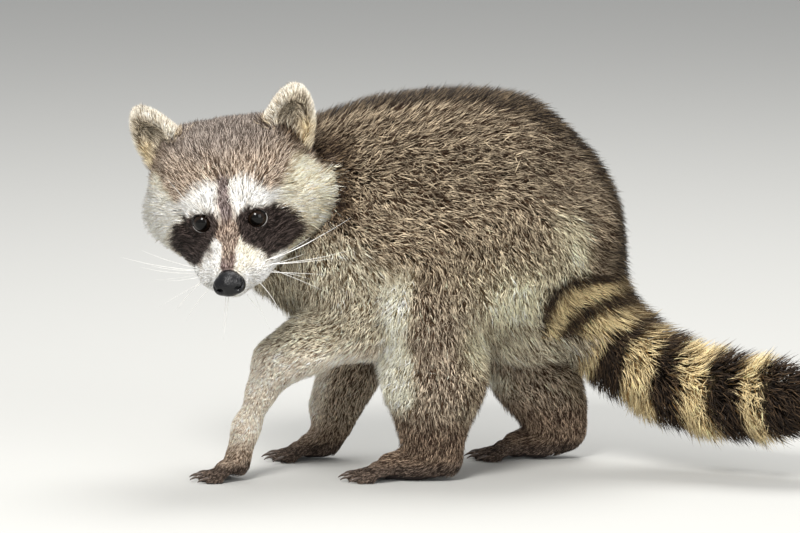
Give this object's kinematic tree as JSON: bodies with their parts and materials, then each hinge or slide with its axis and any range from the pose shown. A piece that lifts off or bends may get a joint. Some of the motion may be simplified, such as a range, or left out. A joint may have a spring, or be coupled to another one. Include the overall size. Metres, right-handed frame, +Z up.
{
  "type": "raccoon",
  "caption": "Young raccoon in full coat, walking with lowered ringed tail, head turned to its left, one forepaw ahead, standing on all paws.",
  "frame": {"origin": "on the floor, under the middle of the bounding box", "axes": "+Z up; the animal walks towards -X and its left side faces -Y; the head looks towards -Y"},
  "size_m": [0.4586, 0.2036, 0.2577],
  "materials": {
    "dark_eye": "wet, glossy, near-black brown",
    "nose_skin": "damp, pebbled, near-black grey",
    "claw_horn": "smooth dark brown horn",
    "face_fur": "short dense fur, white and black-brown mask",
    "ear_fur": "short cream-rimmed fur over thin skin",
    "body_fur": "long grizzled brown-grey guard hair",
    "tail_fur": "long fur, dark rings on tan",
    "leg_fur": "short dense dark brown fur",
    "paw_fur": "very short fur over pinkish-brown skin"
  },
  "bodies": {
    "root": {"claw_fore_left_1": "claw_horn", "claw_fore_left_2": "claw_horn", "claw_fore_left_3": "claw_horn", "claw_fore_left_4": "claw_horn", "claw_fore_left_5": "claw_horn", "claw_fore_right_1": "claw_horn", "claw_fore_right_2": "claw_horn", "claw_fore_right_3": "claw_horn", "claw_fore_right_4": "claw_horn", "claw_fore_right_5": "claw_horn", "claw_hind_left_1": "claw_horn", "claw_hind_left_2": "claw_horn", "claw_hind_left_3": "claw_horn", "claw_hind_left_4": "claw_horn", "claw_hind_left_5": "claw_horn", "claw_hind_right_1": "claw_horn", "claw_hind_right_2": "claw_horn", "claw_hind_right_3": "claw_horn", "claw_hind_right_4": "claw_horn", "claw_hind_right_5": "claw_horn", "ear_left": "ear_fur", "ear_right": "ear_fur", "eye_left": "dark_eye", "eye_right": "dark_eye", "foreleg_left": "leg_fur", "foreleg_right": "leg_fur", "forepaw_left": "paw_fur", "forepaw_right": "paw_fur", "head": "face_fur", "hindfoot_left": "paw_fur", "hindfoot_right": "paw_fur", "hindleg_left": "leg_fur", "hindleg_right": "leg_fur", "neck": "body_fur", "nose_pad": "nose_skin", "tail_base": "tail_fur", "tail_middle": "tail_fur", "tail_tip": "tail_fur", "trunk": "body_fur"}
  },
  "joints": []
}
